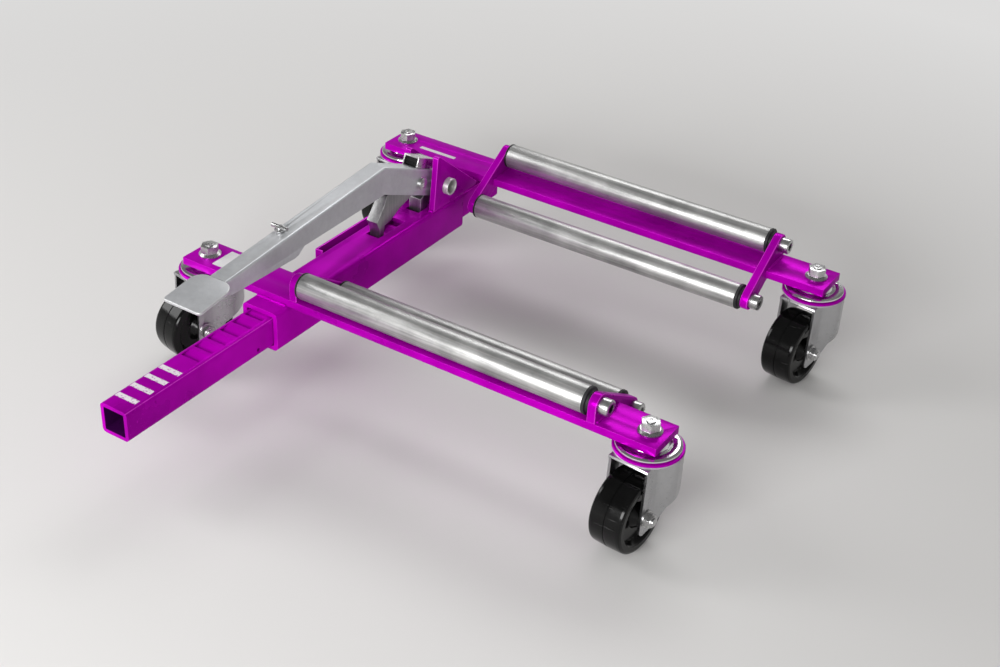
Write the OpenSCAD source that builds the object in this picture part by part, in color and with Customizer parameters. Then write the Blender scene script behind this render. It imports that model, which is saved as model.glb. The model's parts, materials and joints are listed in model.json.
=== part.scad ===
// Foot-pumped vehicle positioning jack: two L-shaped frames that telescope,
// roller pairs on both arms, a pedal ratchet on the side tube, four swivel casters.
// Layout frame: X along the arms, Y along the side tube, Z up, millimetres.
// Every size below is measured from the front bar's near left top corner;
// place() then moves the whole object so that it stands on Z = 0, centred in X and Y.

/* [Arms] */
// how far the front bar runs on past its right roller bracket
front_end = 72.3; // [66:0.1:110]
// how far the rear bar runs on past its right roller bracket
rear_end = 75.2; // [69:0.1:110]
// how far right of the front bar the rear bar starts
rear_off = 3; // [0:0.5:6]
// width of both flat bars
bar_w = 50.8; // [48:0.2:56]
// thickness of both flat bars
bar_t = 9.5; // [8:0.5:11]
// distance between the two bars, edge to same edge, with the frame closed
arm_pitch = 398.4; // [396:0.2:430]

/* [Telescoping tube] */
// outer width of the outer square tube
outer_w = 50.8; // [50.4:0.2:54]
// wall of the outer tube
outer_wall = 5.6; // [5:0.1:6]
// play of the sliding tube in the outer one
tube_play = 1.6; // [1.4:0.1:3.6]
// wall of the sliding tube
inner_wall = 4.8; // [4.4:0.1:6]
// centre line of both tubes, from the front bar's left end
tube_x = 138; // [136:0.5:146]
// how far the outer tube stands out in front of the front bar
outer_front = 22; // [10:1:40]
// how far the sliding tube stands out in front of the front bar
inner_front = 255; // [200:1:300]
// rear end of the outer tube, behind the front bar's near edge
outer_rear = 356; // [350:1:372]

/* [Ratchet] */
// distance from one notch to the next
notch_pitch = 21; // [20:0.25:22]
// depth of a notch at its steep face
notch_depth = 3.6; // [2.8:0.1:3.8]
// flat land left between two notches
land = 5.5; // [4:0.5:7]
// width of the row of notches across the tube
notch_w = 26; // [22:1:28]
// number of notches
notch_n = 21; // [16:1:21]
// width of both pawls where they run in the tube's slots
pawl_w = 16; // [12:0.5:18]

/* [Rollers] */
// outer diameter of a roller tube
roller_d = 31; // [26:0.5:33]
// wall of a roller tube
roller_wall = 3; // [2:0.5:5]
// length of a roller tube
roller_len = 377; // [340:1:384]
// height of the upper axle above the bar
up_z = 17.5; // [17.5:0.5:24]
// how much higher both rear axles sit
rear_lift = 2.5; // [0:0.5:4]
// distance of the lower axle inboard of its bar
low_in = 34; // [30:0.5:38]
// depth of the lower axle below the bar's top
low_z = 27.5; // [22:0.5:32]
// diameter of a roller axle
axle_d = 12; // [8:0.5:14]
// thickness of a roller bracket plate
bracket_t = 10; // [6:0.5:11]
// width of a roller bracket plate
bracket_w = 25; // [22:0.5:30]

/* [Pedal] */
// width of the pedal channel
pedal_w = 25; // [24:0.5:28]
// sheet thickness of the pedal channel
pedal_t = 3; // [2:0.25:3]
// depth of the channel over the pivot
pedal_h = 34.5; // [34:0.5:38]
// pivot position along the tube
pivot_y = 318.6; // [314:0.2:322]
// pivot height above the bars
pivot_z = 17.3; // [16.6:0.1:18.2]
// outer diameter of the hollow pivot tube
pivot_d = 22; // [20:0.5:23]
// knee of the pedal along the tube
knee_y = 204; // [196:1:208]
// height of the knee's top above the bars
knee_z = 84.6; // [82:0.2:88]
// length of the foot plate
foot_len = 59; // [50:1:70]
// width of the foot plate
foot_w = 54; // [44:1:70]

/* [Casters] */
// distance of a kingpin from the end of its bar
king_in = 20.5; // [19:0.5:24]
// kingpin diameter
king_d = 12.7; // [10:0.1:14]
// outer diameter of the swivel ring
ring_d = 77; // [76:0.5:82]
// wheel diameter
wheel_d = 88.9; // [80:0.1:92]
// wheel width
wheel_w = 40.4; // [34:0.2:41.4]
// distance of the wheel axle behind the kingpin
trail = 29.4; // [27:0.2:31]
// depth of the wheel axle below the bar's top
axle_drop = 85.5; // [83:0.5:92]
// swivel angle of the front left caster
yaw_fl = -12; // [-12:1:12]
// swivel angle of the front right caster
yaw_fr = -5; // [-12:1:12]
// swivel angle of the rear left caster
yaw_rl = -8; // [-12:1:12]
// swivel angle of the rear right caster
yaw_rr = -7; // [-12:1:12]

/* [Hidden] */
$fn = 64;
eps = 0.01;
seat = 0.3;              // gap between parts that only lie against each other
run = 0.05;              // radial clearance of a running fit
// outer tube
ox0 = tube_x - outer_w / 2;
ox1 = tube_x + outer_w / 2;
oz1 = -bar_t;
oz0 = oz1 - outer_w;
tube_r = 6;
// sliding tube, lying on the floor of the outer one
iz0 = oz0 + outer_wall + seat;
inner_w = outer_w - 2 * outer_wall - tube_play;
iz1 = iz0 + inner_w;
rear_y = arm_pitch;
rear_x = rear_off;
// rollers
up_y = bracket_w / 2;
roll_r = roller_d / 2;
cap_t = 2.5;                             // flange of the left cap
cap_r = 6.7;                             // right cap: flange and collar
collar_t = 3;
head_l = 11.5;
head_d = 19;
front_rx = ox1 + 1.5;                    // left face of the front left bracket
rear_rx = ox1 + 9.6;
axle_span = 2 * (bracket_t + seat) + cap_t + cap_r + roller_len;
front_len = front_rx + axle_span + front_end;
rear_len = rear_rx + axle_span + rear_end - rear_off;
// ratchet: steep face of the last notch, where the holding pawl drops in
hold_y = pivot_y - 36.6;
notch_0 = hold_y - 20 * notch_pitch - 0.8;
tip_z = iz1 + 0.4;                       // both pawls skim the sliding tube at rest
bolt_y = pivot_y - 41.6;
bolt_z = pivot_z + 16.2;
bolt_d = 10;
drive_y = pivot_y - 121.1;               // front of the drive pawl's tip
hold_w = pedal_w - 2 * pedal_t - 2 * seat;
spring_d = 1.4;                          // wire of the pedal spring
// side channel
chan_w = 11;
chan_y0 = 124;
chan_y1 = 252;
// pedal bracket plates
gusset_t = 8;
gusset_h = 47.5;                         // their peak over the pivot
gusset_tail = 68;                        // their rear tip behind the pivot
pivot_wall = 2.2;                        // wall of the tube the pedal turns on
gx0 = ox0 + gusset_t;                    // inner faces of the two plates
gx1 = ox1 - gusset_t;
px0 = tube_x - pedal_w / 2;
px1 = tube_x + pedal_w / 2;
pedal_ang = acos(pedal_h / 2 / norm([knee_z - pivot_z, pivot_y - knee_y]))
          - atan2(pivot_y - knee_y, knee_z - pivot_z);
heel_y = -87;                            // front end of the pedal channel
heel_z = 60.6;                           // its top there
pedal_tilt = atan((knee_z - heel_z) / (knee_y - heel_y));
foot_tilt = 6.6;
foot_t = 4;
pin_x = tube_x - 5;                      // lock pin
pin_y = 25;
pin_d = 8;
// casters
ring_r = ring_d / 2;
ring_t = 4.9;
race_t = 6.8;
fork_t = 3;
fork_r = ring_r - 0.5;
race_z = -bar_t;                         // top of the race
ring_z = race_z - race_t - seat;         // top of the swivel ring
fork_z = ring_z - ring_t;                // top of the fork
wheel_r = wheel_d / 2;
front_reach = 40.5;                      // front corner of a fork leg
fork_half = wheel_w / 2 + 0.8 + fork_t;  // half width of the fork over its legs
hub_half = fork_half - fork_t - seat;
wheel_bolt_d = 10;
// where the whole object is put
x_mid = (king_in - ring_r + rear_off + rear_len - king_in + ring_r) / 2;
y_mid = (arm_pitch + bar_w / 2 + ring_r - inner_front) / 2;
ground = axle_drop + wheel_r;
kings = [[king_in, bar_w / 2, yaw_fl], [front_len - king_in, bar_w / 2, yaw_fr],
         [rear_off + king_in, rear_y + bar_w / 2, yaw_rl],
         [rear_off + rear_len - king_in, rear_y + bar_w / 2, yaw_rr]];

paint = [0.55, 0.02, 0.52];
zinc = [0.78, 0.79, 0.8];
black = [0.05, 0.05, 0.055];

// one node to build, or all of them

// Placement helpers

module place() { translate([-x_mid, -y_mid, ground]) children(); }

// a box given by its two corners
module box(lo, hi) { translate(lo) cube([hi[0] - lo[0], hi[1] - lo[1], hi[2] - lo[2]]); }

// round bar along X, Y or Z
module rod_x(x0, x1, y, z, r) { translate([x0, y, z]) rotate([0, 90, 0]) cylinder(h = x1 - x0, r = r); }
module rod_y(y0, y1, x, z, r) { translate([x, y0, z]) rotate([-90, 0, 0]) cylinder(h = y1 - y0, r = r); }

// a plate standing in the Y-Z plane, from its outline as [y, z] points
module yz_plate(x0, x1, pts) {
    translate([x0, 0, 0]) rotate([90, 0, 90]) linear_extrude(height = x1 - x0) polygon(pts);
}

// square bar along Y with rounded long edges
module round_square(x, y0, y1, z0, w, r) {
    for (s = [-1, 1], t = [0, 1])
        rod_y(y0, y1, x + s * (w / 2 - r), z0 + r + t * (w - 2 * r), r);
    box([x - w / 2 + r, y0, z0], [x + w / 2 - r, y1, z0 + w]);
    box([x - w / 2, y0, z0 + r], [x + w / 2, y1, z0 + w - r]);
}

// Tubes

module outer_tube() {
    color(paint) place() difference() {
        round_square(tube_x, -outer_front, outer_rear, oz0, outer_w, tube_r);
        round_square(tube_x, -outer_front - 1, outer_rear + 1, oz0 + outer_wall,
                     outer_w - 2 * outer_wall, 2.5);
        // slot the drive pawl works in, and the shorter one of the holding pawl
        box([tube_x - pawl_w / 2 - 2, drive_y - 6, oz1 - outer_wall - 1],
            [tube_x + pawl_w / 2 + 2, drive_y + 49, oz1 + 1]);
        box([tube_x - hold_w / 2 - 1, hold_y - 6, oz1 - outer_wall - 1],
            [tube_x + hold_w / 2 + 1, hold_y + 20, oz1 + 1]);
    }
}

module sliding_tube() {
    color(paint) place() difference() {
        round_square(tube_x, -inner_front, rear_y + bar_w, iz0, inner_w, 5);
        round_square(tube_x, -inner_front - 1, rear_y + bar_w + 1, iz0 + inner_wall,
                     inner_w - 2 * inner_wall, 2);
        // saw-tooth notches: steep face to the rear of each land, then a rising ramp
        for (i = [21 - notch_n : 20])
            yz_plate(tube_x - notch_w / 2, tube_x + notch_w / 2,
                     [[notch_0 + i * notch_pitch, iz1 + 0.5],
                      [notch_0 + i * notch_pitch, iz1 - notch_depth],
                      [notch_0 + i * notch_pitch + 1.2, iz1 - notch_depth],
                      [notch_0 + (i + 1) * notch_pitch - land, iz1],
                      [notch_0 + (i + 1) * notch_pitch - land, iz1 + 0.5]]);
        // stop screw hole in the right wall
        rod_x(tube_x + inner_w / 2 - inner_wall - 1, tube_x + inner_w / 2 + 1, -48, iz0 + 8.5, 2.5);
    }
}

// lies between the sliding tube and the rear bar; its front end stops the closing frame
module rear_spacer_pad() {
    color(paint) place() box([tube_x - inner_w / 2 + 5, outer_rear + 0.4, iz1],
                             [tube_x + inner_w / 2 - 5, rear_y + bar_w, oz1]);
}

// Arms

module arm_bar(x, y, len) {
    difference() {
        box([x, y, -bar_t], [x + len, y + bar_w, 0]);
        for (kx = [king_in, len - king_in])
            translate([x + kx, y + bar_w / 2, -bar_t - 1]) cylinder(h = bar_t + 2, r = king_d / 2 + 0.15);
    }
}
module front_bar() { color(paint) place() arm_bar(0, 0, front_len); }
module rear_bar() { color(paint) place() arm_bar(rear_x, rear_y, rear_len); }

// Roller bracket: an inclined round-ended plate hooked over the bar's inner edge.
// f = 1 on the front arm, -1 on the rear arm, which mirrors it.
function arm_y(f, y) = f > 0 ? y : rear_y + bar_w - y;
function low_y() = bar_w + low_in;
function top_z(f) = up_z + (f > 0 ? 0 : rear_lift);
function under_z(f) = (f > 0 ? 0 : rear_lift) - low_z;

module roller_bracket(f, x0) {
    r = bracket_w / 2;
    zt = top_z(f);
    zu = under_z(f);
    dy = low_y() - up_y;
    dz = zu - zt;
    n = [-dz, dy] / norm([dy, dz]) * r;
    difference() {
        union() {
            rod_x(x0, x0 + bracket_t, arm_y(f, up_y), zt, r);
            rod_x(x0, x0 + bracket_t, arm_y(f, low_y()), zu, r);
            yz_plate(x0, x0 + bracket_t,
                     [[arm_y(f, up_y + n[0]), zt + n[1]], [arm_y(f, low_y() + n[0]), zu + n[1]],
                      [arm_y(f, low_y() - n[0]), zu - n[1]], [arm_y(f, up_y - n[0]), zt - n[1]]]);
            // foot on the bar, flush with its outer edge
            yz_plate(x0, x0 + bracket_t,
                     [[arm_y(f, 0), 0], [arm_y(f, bar_w - 4), 0], [arm_y(f, bar_w - 4), 6],
                      [arm_y(f, bracket_w), zt - 4], [arm_y(f, bracket_w / 2), zt],
                      [arm_y(f, 0), zt]]);
        }
        // the bar itself
        yz_plate(x0 - 1, x0 + bracket_t + 1,
                 [[arm_y(f, -20), -bar_t], [arm_y(f, bar_w), -bar_t],
                  [arm_y(f, bar_w), 0], [arm_y(f, -20), 0]]);
        for (a = [[up_y, zt], [low_y(), zu]])
            rod_x(x0 - 1, x0 + bracket_t + 1, arm_y(f, a[0]), a[1], axle_d / 2);
    }
}
module front_bracket_left() { color(paint) place() roller_bracket(1, front_rx); }
module front_bracket_right() { color(paint) place() roller_bracket(1, front_rx + axle_span - bracket_t); }
module rear_bracket_left() { color(paint) place() roller_bracket(-1, rear_rx); }
module rear_bracket_right() { color(paint) place() roller_bracket(-1, rear_rx + axle_span - bracket_t); }

// Rollers: tube, end caps, and the long socket-head screw they turn on

module roller(f, x0, y, z) {
    a = x0 + bracket_t + seat + cap_t;
    difference() {
        rod_x(a, a + roller_len, arm_y(f, y), z, roll_r);
        rod_x(a - 1, a + roller_len + 1, arm_y(f, y), z, roll_r - roller_wall);
    }
}
module roller_caps(f, x0, y, z) {
    a = x0 + bracket_t + seat;
    b = a + cap_t + cap_r + roller_len;
    yy = arm_y(f, y);
    difference() {
        union() {
            rod_x(a, a + cap_t, yy, z, roll_r + 0.3);
            rod_x(a + cap_t - eps, a + 16, yy, z, roll_r - roller_wall - 0.02);
            rod_x(b - cap_r - 13.5, b - cap_r + eps, yy, z, roll_r - roller_wall - 0.02);
            rod_x(b - cap_r, b - collar_t, yy, z, roll_r + 0.3);
            rod_x(b - collar_t - eps, b, yy, z, roll_r - 3);
        }
        rod_x(a - 1, b + 1, yy, z, axle_d / 2 + run);
    }
}
module roller_axle(f, x0, y, z) {
    b = x0 + axle_span;
    yy = arm_y(f, y);
    difference() {
        union() {
            rod_x(x0 + 0.4, b + 1, yy, z, axle_d / 2);
            rod_x(b, b + head_l - 1, yy, z, head_d / 2);
            translate([b + head_l - 1 - eps, yy, z]) rotate([0, 90, 0])
                cylinder(h = 1, r1 = head_d / 2, r2 = head_d / 2 - 0.8);
        }
        translate([b + head_l - 6, yy, z]) rotate([0, 90, 0]) cylinder(h = 8, r = 5.6, $fn = 6);
    }
}
module front_upper_roller() { color(zinc) place() roller(1, front_rx, up_y, top_z(1)); }
module front_lower_roller() { color(zinc) place() roller(1, front_rx, low_y(), under_z(1)); }
module rear_upper_roller() { color(zinc) place() roller(-1, rear_rx, up_y, top_z(-1)); }
module rear_lower_roller() { color(zinc) place() roller(-1, rear_rx, low_y(), under_z(-1)); }
module front_upper_caps() { color(black) place() roller_caps(1, front_rx, up_y, top_z(1)); }
module front_lower_caps() { color(black) place() roller_caps(1, front_rx, low_y(), under_z(1)); }
module rear_upper_caps() { color(black) place() roller_caps(-1, rear_rx, up_y, top_z(-1)); }
module rear_lower_caps() { color(black) place() roller_caps(-1, rear_rx, low_y(), under_z(-1)); }
module front_upper_axle() { color(zinc) place() roller_axle(1, front_rx, up_y, top_z(1)); }
module front_lower_axle() { color(zinc) place() roller_axle(1, front_rx, low_y(), under_z(1)); }
module rear_upper_axle() { color(zinc) place() roller_axle(-1, rear_rx, up_y, top_z(-1)); }
module rear_lower_axle() { color(zinc) place() roller_axle(-1, rear_rx, low_y(), under_z(-1)); }

// Pedal bracket: two gusset plates on the outer tube, bored for the pivot tube

module gusset(x0) {
    difference() {
        yz_plate(x0, x0 + gusset_t,
                 [[pivot_y - 29.6, oz1], [pivot_y - 22.6, pivot_z + gusset_h - 1.5],
                  [pivot_y - 20, pivot_z + gusset_h], [pivot_y - 16.6, pivot_z + gusset_h - 1],
                  [pivot_y + gusset_tail, oz1 + 5.5], [pivot_y + gusset_tail - 2, oz1 + 2], [outer_rear + 1, oz1 + 2], [outer_rear, oz1]]);
        rod_x(x0 - 1, x0 + gusset_t + 1, pivot_y, pivot_z, pivot_d / 2);
    }
}
module pedal_gusset_left() { color(paint) place() gusset(ox0); }
module pedal_gusset_right() { color(paint) place() gusset(ox1 - gusset_t); }

module pivot_tube() {
    color(zinc) place() difference() {
        rod_x(ox0 - 7, ox1 + 7, pivot_y, pivot_z, pivot_d / 2);
        rod_x(ox0 - 8, ox1 + 8, pivot_y, pivot_z, pivot_d / 2 - pivot_wall);
    }
}

// ring that fills the play on the right; on the left the pedal spring sits round the tube
module pivot_spacer() {
    color(zinc) place() difference() {
        rod_x(px1 + seat, gx1, pivot_y, pivot_z, pivot_d / 2 + 4);
        rod_x(px1, gx1 + 1, pivot_y, pivot_z, pivot_d / 2);
    }
}

// Pedal spring: one wire with a leg under the pawl bolt's nut, a coil round the pivot tube
// and a leg down on the outer tube. Points are [x, y, z] round the pivot.
spring_r = (pivot_d / 2 + seat + spring_d / 2) / cos(180 / 8);
spring_pitch = spring_d + 0.6;
nut_r = 7.5;
leg_p = [bolt_y - pivot_y, bolt_z - pivot_z - nut_r - seat - spring_d / 2];
leg_a = atan2(leg_p[1], leg_p[0]) - acos(spring_r / norm(leg_p));
spring_turn = 360 + leg_a;
spring_n = ceil(spring_turn / 45);
spring_path = concat(
    [[0, leg_p[0] - 4, leg_p[1] - 0.1], [0, leg_p[0] / 2, (leg_p[1] + spring_r) / 2]],
    [for (i = [0 : spring_n]) let (a = leg_a - spring_turn * i / spring_n)
        [spring_pitch * spring_turn / 360 * i / spring_n, spring_r * cos(a), spring_r * sin(a)]],
    [[spring_pitch * spring_turn / 360, spring_r, oz1 - pivot_z + seat + spring_d / 2]]);
spring_gap = min([for (i = [0 : len(spring_path) - 1], j = [0 : len(spring_path) - 1])
                  if (j > i + 5) norm(spring_path[i] - spring_path[j])]) - spring_d;

// tube of the given radius swept along points that never run along X
module wire(path, r, n) {
    m = len(path);
    rings = [for (i = [0 : m - 1])
        let (d = path[min(i + 1, m - 1)] - path[max(i - 1, 0)], t = d / norm(d),
             v = cross(t, [1, 0, 0]) / norm(cross(t, [1, 0, 0])), u = cross(v, t))
        for (k = [0 : n - 1]) path[i] + r * (cos(k * 360 / n) * u + sin(k * 360 / n) * v)];
    sides = [for (i = [0 : m - 2], k = [0 : n - 1]) let (a = i * n + k, b = i * n + (k + 1) % n)
        each [[a, b, b + n], [a, b + n, a + n]]];
    caps = [for (k = [1 : n - 2]) each [[0, k + 1, k], [(m - 1) * n, (m - 1) * n + k, (m - 1) * n + k + 1]]];
    polyhedron(points = rings, faces = concat(sides, caps));
}
module pedal_spring() {
    echo(str("pedal spring, least gap to itself in mm: ", spring_gap));
    color(zinc) place() translate([gx0 + seat + spring_d / 2, pivot_y, pivot_z])
        wire(spring_path, spring_d / 2, 6);
}

// Narrow channel on the left side of the outer tube, open at the top

module side_channel() {
    t = 2.5;
    color(paint) place() difference() {
        box([ox0 - chan_w, chan_y0, oz1 - 20], [ox0, chan_y1, oz1]);
        box([ox0 - chan_w + t, chan_y0 + t, oz1 - 20 + t], [ox0 + 1, chan_y1 - t, oz1 + 1]);
    }
}

// Pedal: an inverted channel from the foot plate up to the knee and down to the pivot

// side outline of the channel; drop and low move its top and bottom, front lengthens it
module pedal_outline(x0, x1, drop, low, front) {
    k1 = tan(pedal_tilt);
    k2 = -tan(pedal_ang);
    c = cos(pedal_ang);
    n = [sin(pedal_ang), c];
    z_top = pivot_z + (pedal_h / 2 - drop) / c;
    z_bot = pivot_z - pedal_h / 2 / c;
    knee = knee_z - drop / cos(pedal_tilt);
    ky = (z_top - knee + knee_y * k1 - pivot_y * k2) / (k1 - k2);
    kz = z_top + (ky - pivot_y) * k2;
    y0 = heel_y - front;
    yz_plate(x0, x1,
             [[y0, kz + (y0 - ky) * k1], [ky, kz],
              [pivot_y, pivot_z] + (pedal_h / 2 - drop) * n, [pivot_y, pivot_z] - (pedal_h / 2 + low * c) * n,
              [knee_y - 3, z_bot + (knee_y - 3 - pivot_y) * k2 - low], [47, 46 - low], [36, 38.5 - low],
              [29, 37.2 - low], [heel_y + 6, 40.6 - low], [y0, 45 - low]]);
}
module pedal_arm() {
    color([0.72, 0.73, 0.75]) place() difference() {
        union() {
            pedal_outline(px0, px1, 0, 0, 0);
            rod_x(px0, px1, pivot_y, pivot_z, pedal_h / 2);
        }
        pedal_outline(px0 + pedal_t, px1 - pedal_t, pedal_t, 8, 1);
        // no web over the pivot, so that the holding pawl's hub fits between the flanges
        yz_plate(px0 + pedal_t, px1 - pedal_t,
                 [rear_run(-20, -30), rear_run(-20, 30), rear_run(30, 30), rear_run(30, -30)]);
        pedal_corners(3);
        rod_x(px0 - 1, px1 + 1, pivot_y, pivot_z, pivot_d / 2 + run);
        rod_x(px0 - 1, px1 + 1, bolt_y, bolt_z, bolt_d / 2);
        at_pin() translate([0, 0, -20]) cylinder(h = 40, r = pin_d / 2 + run);
    }
}
function pedal_top(y) = knee_z + (y - knee_y) * tan(pedal_tilt);
// a point beside the pivot, u along the rear run and w square to it
function rear_run(u, w) = [pivot_y, pivot_z] + u * [cos(pedal_ang), -sin(pedal_ang)]
                                             + w * [sin(pedal_ang), cos(pedal_ang)];

// what rounds the long top edges of both runs, past the knee on either side
module pedal_corners(r) {
    h = pedal_h / 2;
    runs = [[[heel_y, heel_z], pedal_tilt, -20, 330], [[pivot_y, pivot_z] + h * [sin(pedal_ang), cos(pedal_ang)],
            -pedal_ang, -160, 30]];
    for (s = [-1, 1], a = runs)
        translate([tube_x + s * (pedal_w / 2 - r), a[0][0], a[0][1]]) rotate([a[1], 0, 0]) difference() {
            box([min(0, s * (r + 1)), a[2], -r], [max(0, s * (r + 1)), a[3], 1]);
            rod_y(a[2] - 1, a[3] + 1, 0, -r, r);
        }
}

// at the pedal's top surface over the lock pin
module at_pin() { translate([pin_x, pin_y, pedal_top(pin_y)]) rotate([pedal_tilt, 0, 0]) children(); }

module foot_plate() {
    r1 = 5;
    r2 = 16;
    w = foot_w / 2;
    color([0.72, 0.73, 0.75]) place()
        translate([tube_x, heel_y, pedal_top(heel_y) + 0.8 - foot_t]) rotate([foot_tilt, 0, 0]) {
            box([-w + r2, -foot_len, 0], [w - r2, 0, foot_t]);
            box([-w, -foot_len + r1, 0], [w, -r2, foot_t]);
            box([-w + r1, -foot_len, 0], [w - r1, -r2, foot_t]);
            for (s = [-1, 1]) {
                translate([s * (w - r1), -foot_len + r1, 0]) cylinder(h = foot_t, r = r1);
                translate([s * (w - r2), -r2, 0]) cylinder(h = foot_t, r = r2);
            }
        }
}

// box on the back of the pedal that holds the rubber up-stop
module on_pedal_back() {
    translate([tube_x, pivot_y, pivot_z]) rotate([-pedal_ang, 0, 0]) translate([0, 0, pedal_h / 2]) children();
}
box_w = pedal_w - 2;
box_h = 14;
box_t = 2.2;
module stop_box() {
    color(zinc) place() on_pedal_back() difference() {
        box([-box_w / 2, -61, 0], [box_w / 2, -24, box_h]);
        box([-box_w / 2 + box_t, -62, -1], [box_w / 2 - box_t, -24 - box_t, box_h - box_t]);
    }
}
module stop_rubber() {
    w = box_w / 2 - box_t - 0.02;
    h = box_h - box_t - 0.02;
    color(black) place() on_pedal_back() union() {
        box([-w, -57, 0], [w, -24 - box_t - 0.02, h]);
        for (z = [2.6, 6.6]) box([-w, -59, z], [w, -57 + eps, z + 1.6]);
    }
}

module pawl_bolt() {
    color(zinc) place() union() {
        rod_x(gx0 + 0.5, gx1 - 0.5, bolt_y, bolt_z, bolt_d / 2);
        for (x = [px0 - 1, px1]) rod_x(x, x + 1, bolt_y, bolt_z, nut_r + 1);
        rod_x(px1 + 1 - eps, gx1 - 0.5, bolt_y, bolt_z, nut_r);
        translate([gx0 + 0.5, bolt_y, bolt_z]) rotate([0, 90, 0])
            cylinder(h = px0 - 1 - gx0 - 0.5 + eps, r = nut_r, $fn = 6);
    }
}

// pull pin with a cross bar in the pedal's top
module lock_pin() {
    color(zinc) place() at_pin() union() {
        translate([0, 0, -16]) cylinder(h = 22, r = pin_d / 2);
        translate([0, 0, seat]) cylinder(h = 2, r = pin_d / 2 + 2.5);
        translate([-11, 0, 5]) rotate([0, 90, 0]) cylinder(h = 22, r = 2.5);
    }
}

// Pawls

module drive_pawl() {
    y = drive_y;
    color(zinc) place() difference() {
        union() {
            // nose, tooth with its bevelled front, and the arm back to the bolt
            yz_plate(tube_x - pawl_w / 2, tube_x + pawl_w / 2,
                     [[y - 6.3, 11], [y - 1, -1], [y, tip_z], [y + 6, tip_z], [y + 10, 1], [y + 22.3, 3.3],
                      [y + 41.5, 13.2], [bolt_y + 6, bolt_z - 9.2], [bolt_y + 4, bolt_z + 10.2],
                      [y + 25, 44], [y + 14, 40], [y + 8, 27.5]]);
            rod_x(tube_x - hold_w / 2, tube_x + hold_w / 2, bolt_y, bolt_z, 11);
        }
        rod_x(px0, px1, bolt_y, bolt_z, bolt_d / 2 + run);
    }
}
module holding_pawl() {
    color(zinc) place() difference() {
        union() {
            rod_x(tube_x - hold_w / 2, tube_x + hold_w / 2, pivot_y, pivot_z, pivot_d / 2 + 3.2);
            yz_plate(tube_x - hold_w / 2, tube_x + hold_w / 2,
                     [[hold_y, 6.5], [hold_y, tip_z], [hold_y + 7, tip_z + 2.4], [hold_y + 18, -4],
                      [pivot_y, pivot_z - pivot_d / 2 - 3], [pivot_y - 8, pivot_z + 5], [hold_y + 12, 13]]);
        }
        rod_x(px0, px1, pivot_y, pivot_z, pivot_d / 2 + run);
    }
}

// Casters

module at_king(i) { translate([kings[i][0], kings[i][1], 0]) children(); }
// caster frame: -Y points along the trail, X along the wheel axle
module at_fork(i) { at_king(i) rotate([0, 0, kings[i][2]]) children(); }

// pressed saucer under the bar, with a raised seat and a rolled rim
module race() {
    translate([0, 0, race_z - race_t]) rotate_extrude()
        polygon([[king_d / 2 + 0.15, 0], [ring_r - 4, 0], [ring_r - 2.6, 1.2], [ring_r - 3, 2.4],
                 [ring_r - 6, 3.4], [ring_r - 9, 3.2], [ring_r - 13, 2.6], [22, 3.6],
                 [20, race_t], [king_d / 2 + 0.15, race_t]]);
}
module kingpin() {
    difference() {
        union() {
            translate([0, 0, fork_z - fork_t - 8.4]) cylinder(h = 14.2 - fork_z + fork_t + 8.4, r = king_d / 2);
            cylinder(h = 1.4, r = 13.5);
            translate([0, 0, 1.4 - eps]) cylinder(h = 2.2, r1 = 13.5, r2 = 11);
            translate([0, 0, 3]) cylinder(h = 9.6, r = 10.9, $fn = 6);
            translate([0, 0, fork_z - fork_t - 8.4]) cylinder(h = 8.1, r = 11, $fn = 6);
        }
        translate([0, 0, 12.6]) difference() {
            cylinder(h = 3, r = 9);
            translate([0, 0, -1]) cylinder(h = 5, r = 5.4);
        }
        translate([0, 0, 13.4]) cylinder(h = 2, r = 2);
    }
}
module front_swivel_races() { color(zinc) place() for (i = [0, 1]) at_king(i) race(); }
module rear_swivel_races() { color(zinc) place() for (i = [2, 3]) at_king(i) race(); }
module front_kingpins() { color(zinc) place() for (i = [0, 1]) at_king(i) kingpin(); }
module rear_kingpins() { color(zinc) place() for (i = [2, 3]) at_king(i) kingpin(); }

module swivel_ring() {
    translate([0, 0, fork_z]) rotate_extrude()
        polygon([[ring_r - 7, 0], [ring_r - 0.6, 0], [ring_r, 0.6], [ring_r, 2.4], [ring_r - 0.5, 2.9],
                 [ring_r, 3.4], [ring_r, ring_t - 0.8], [ring_r - 0.8, ring_t], [ring_r - 7, ring_t]]);
}

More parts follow.
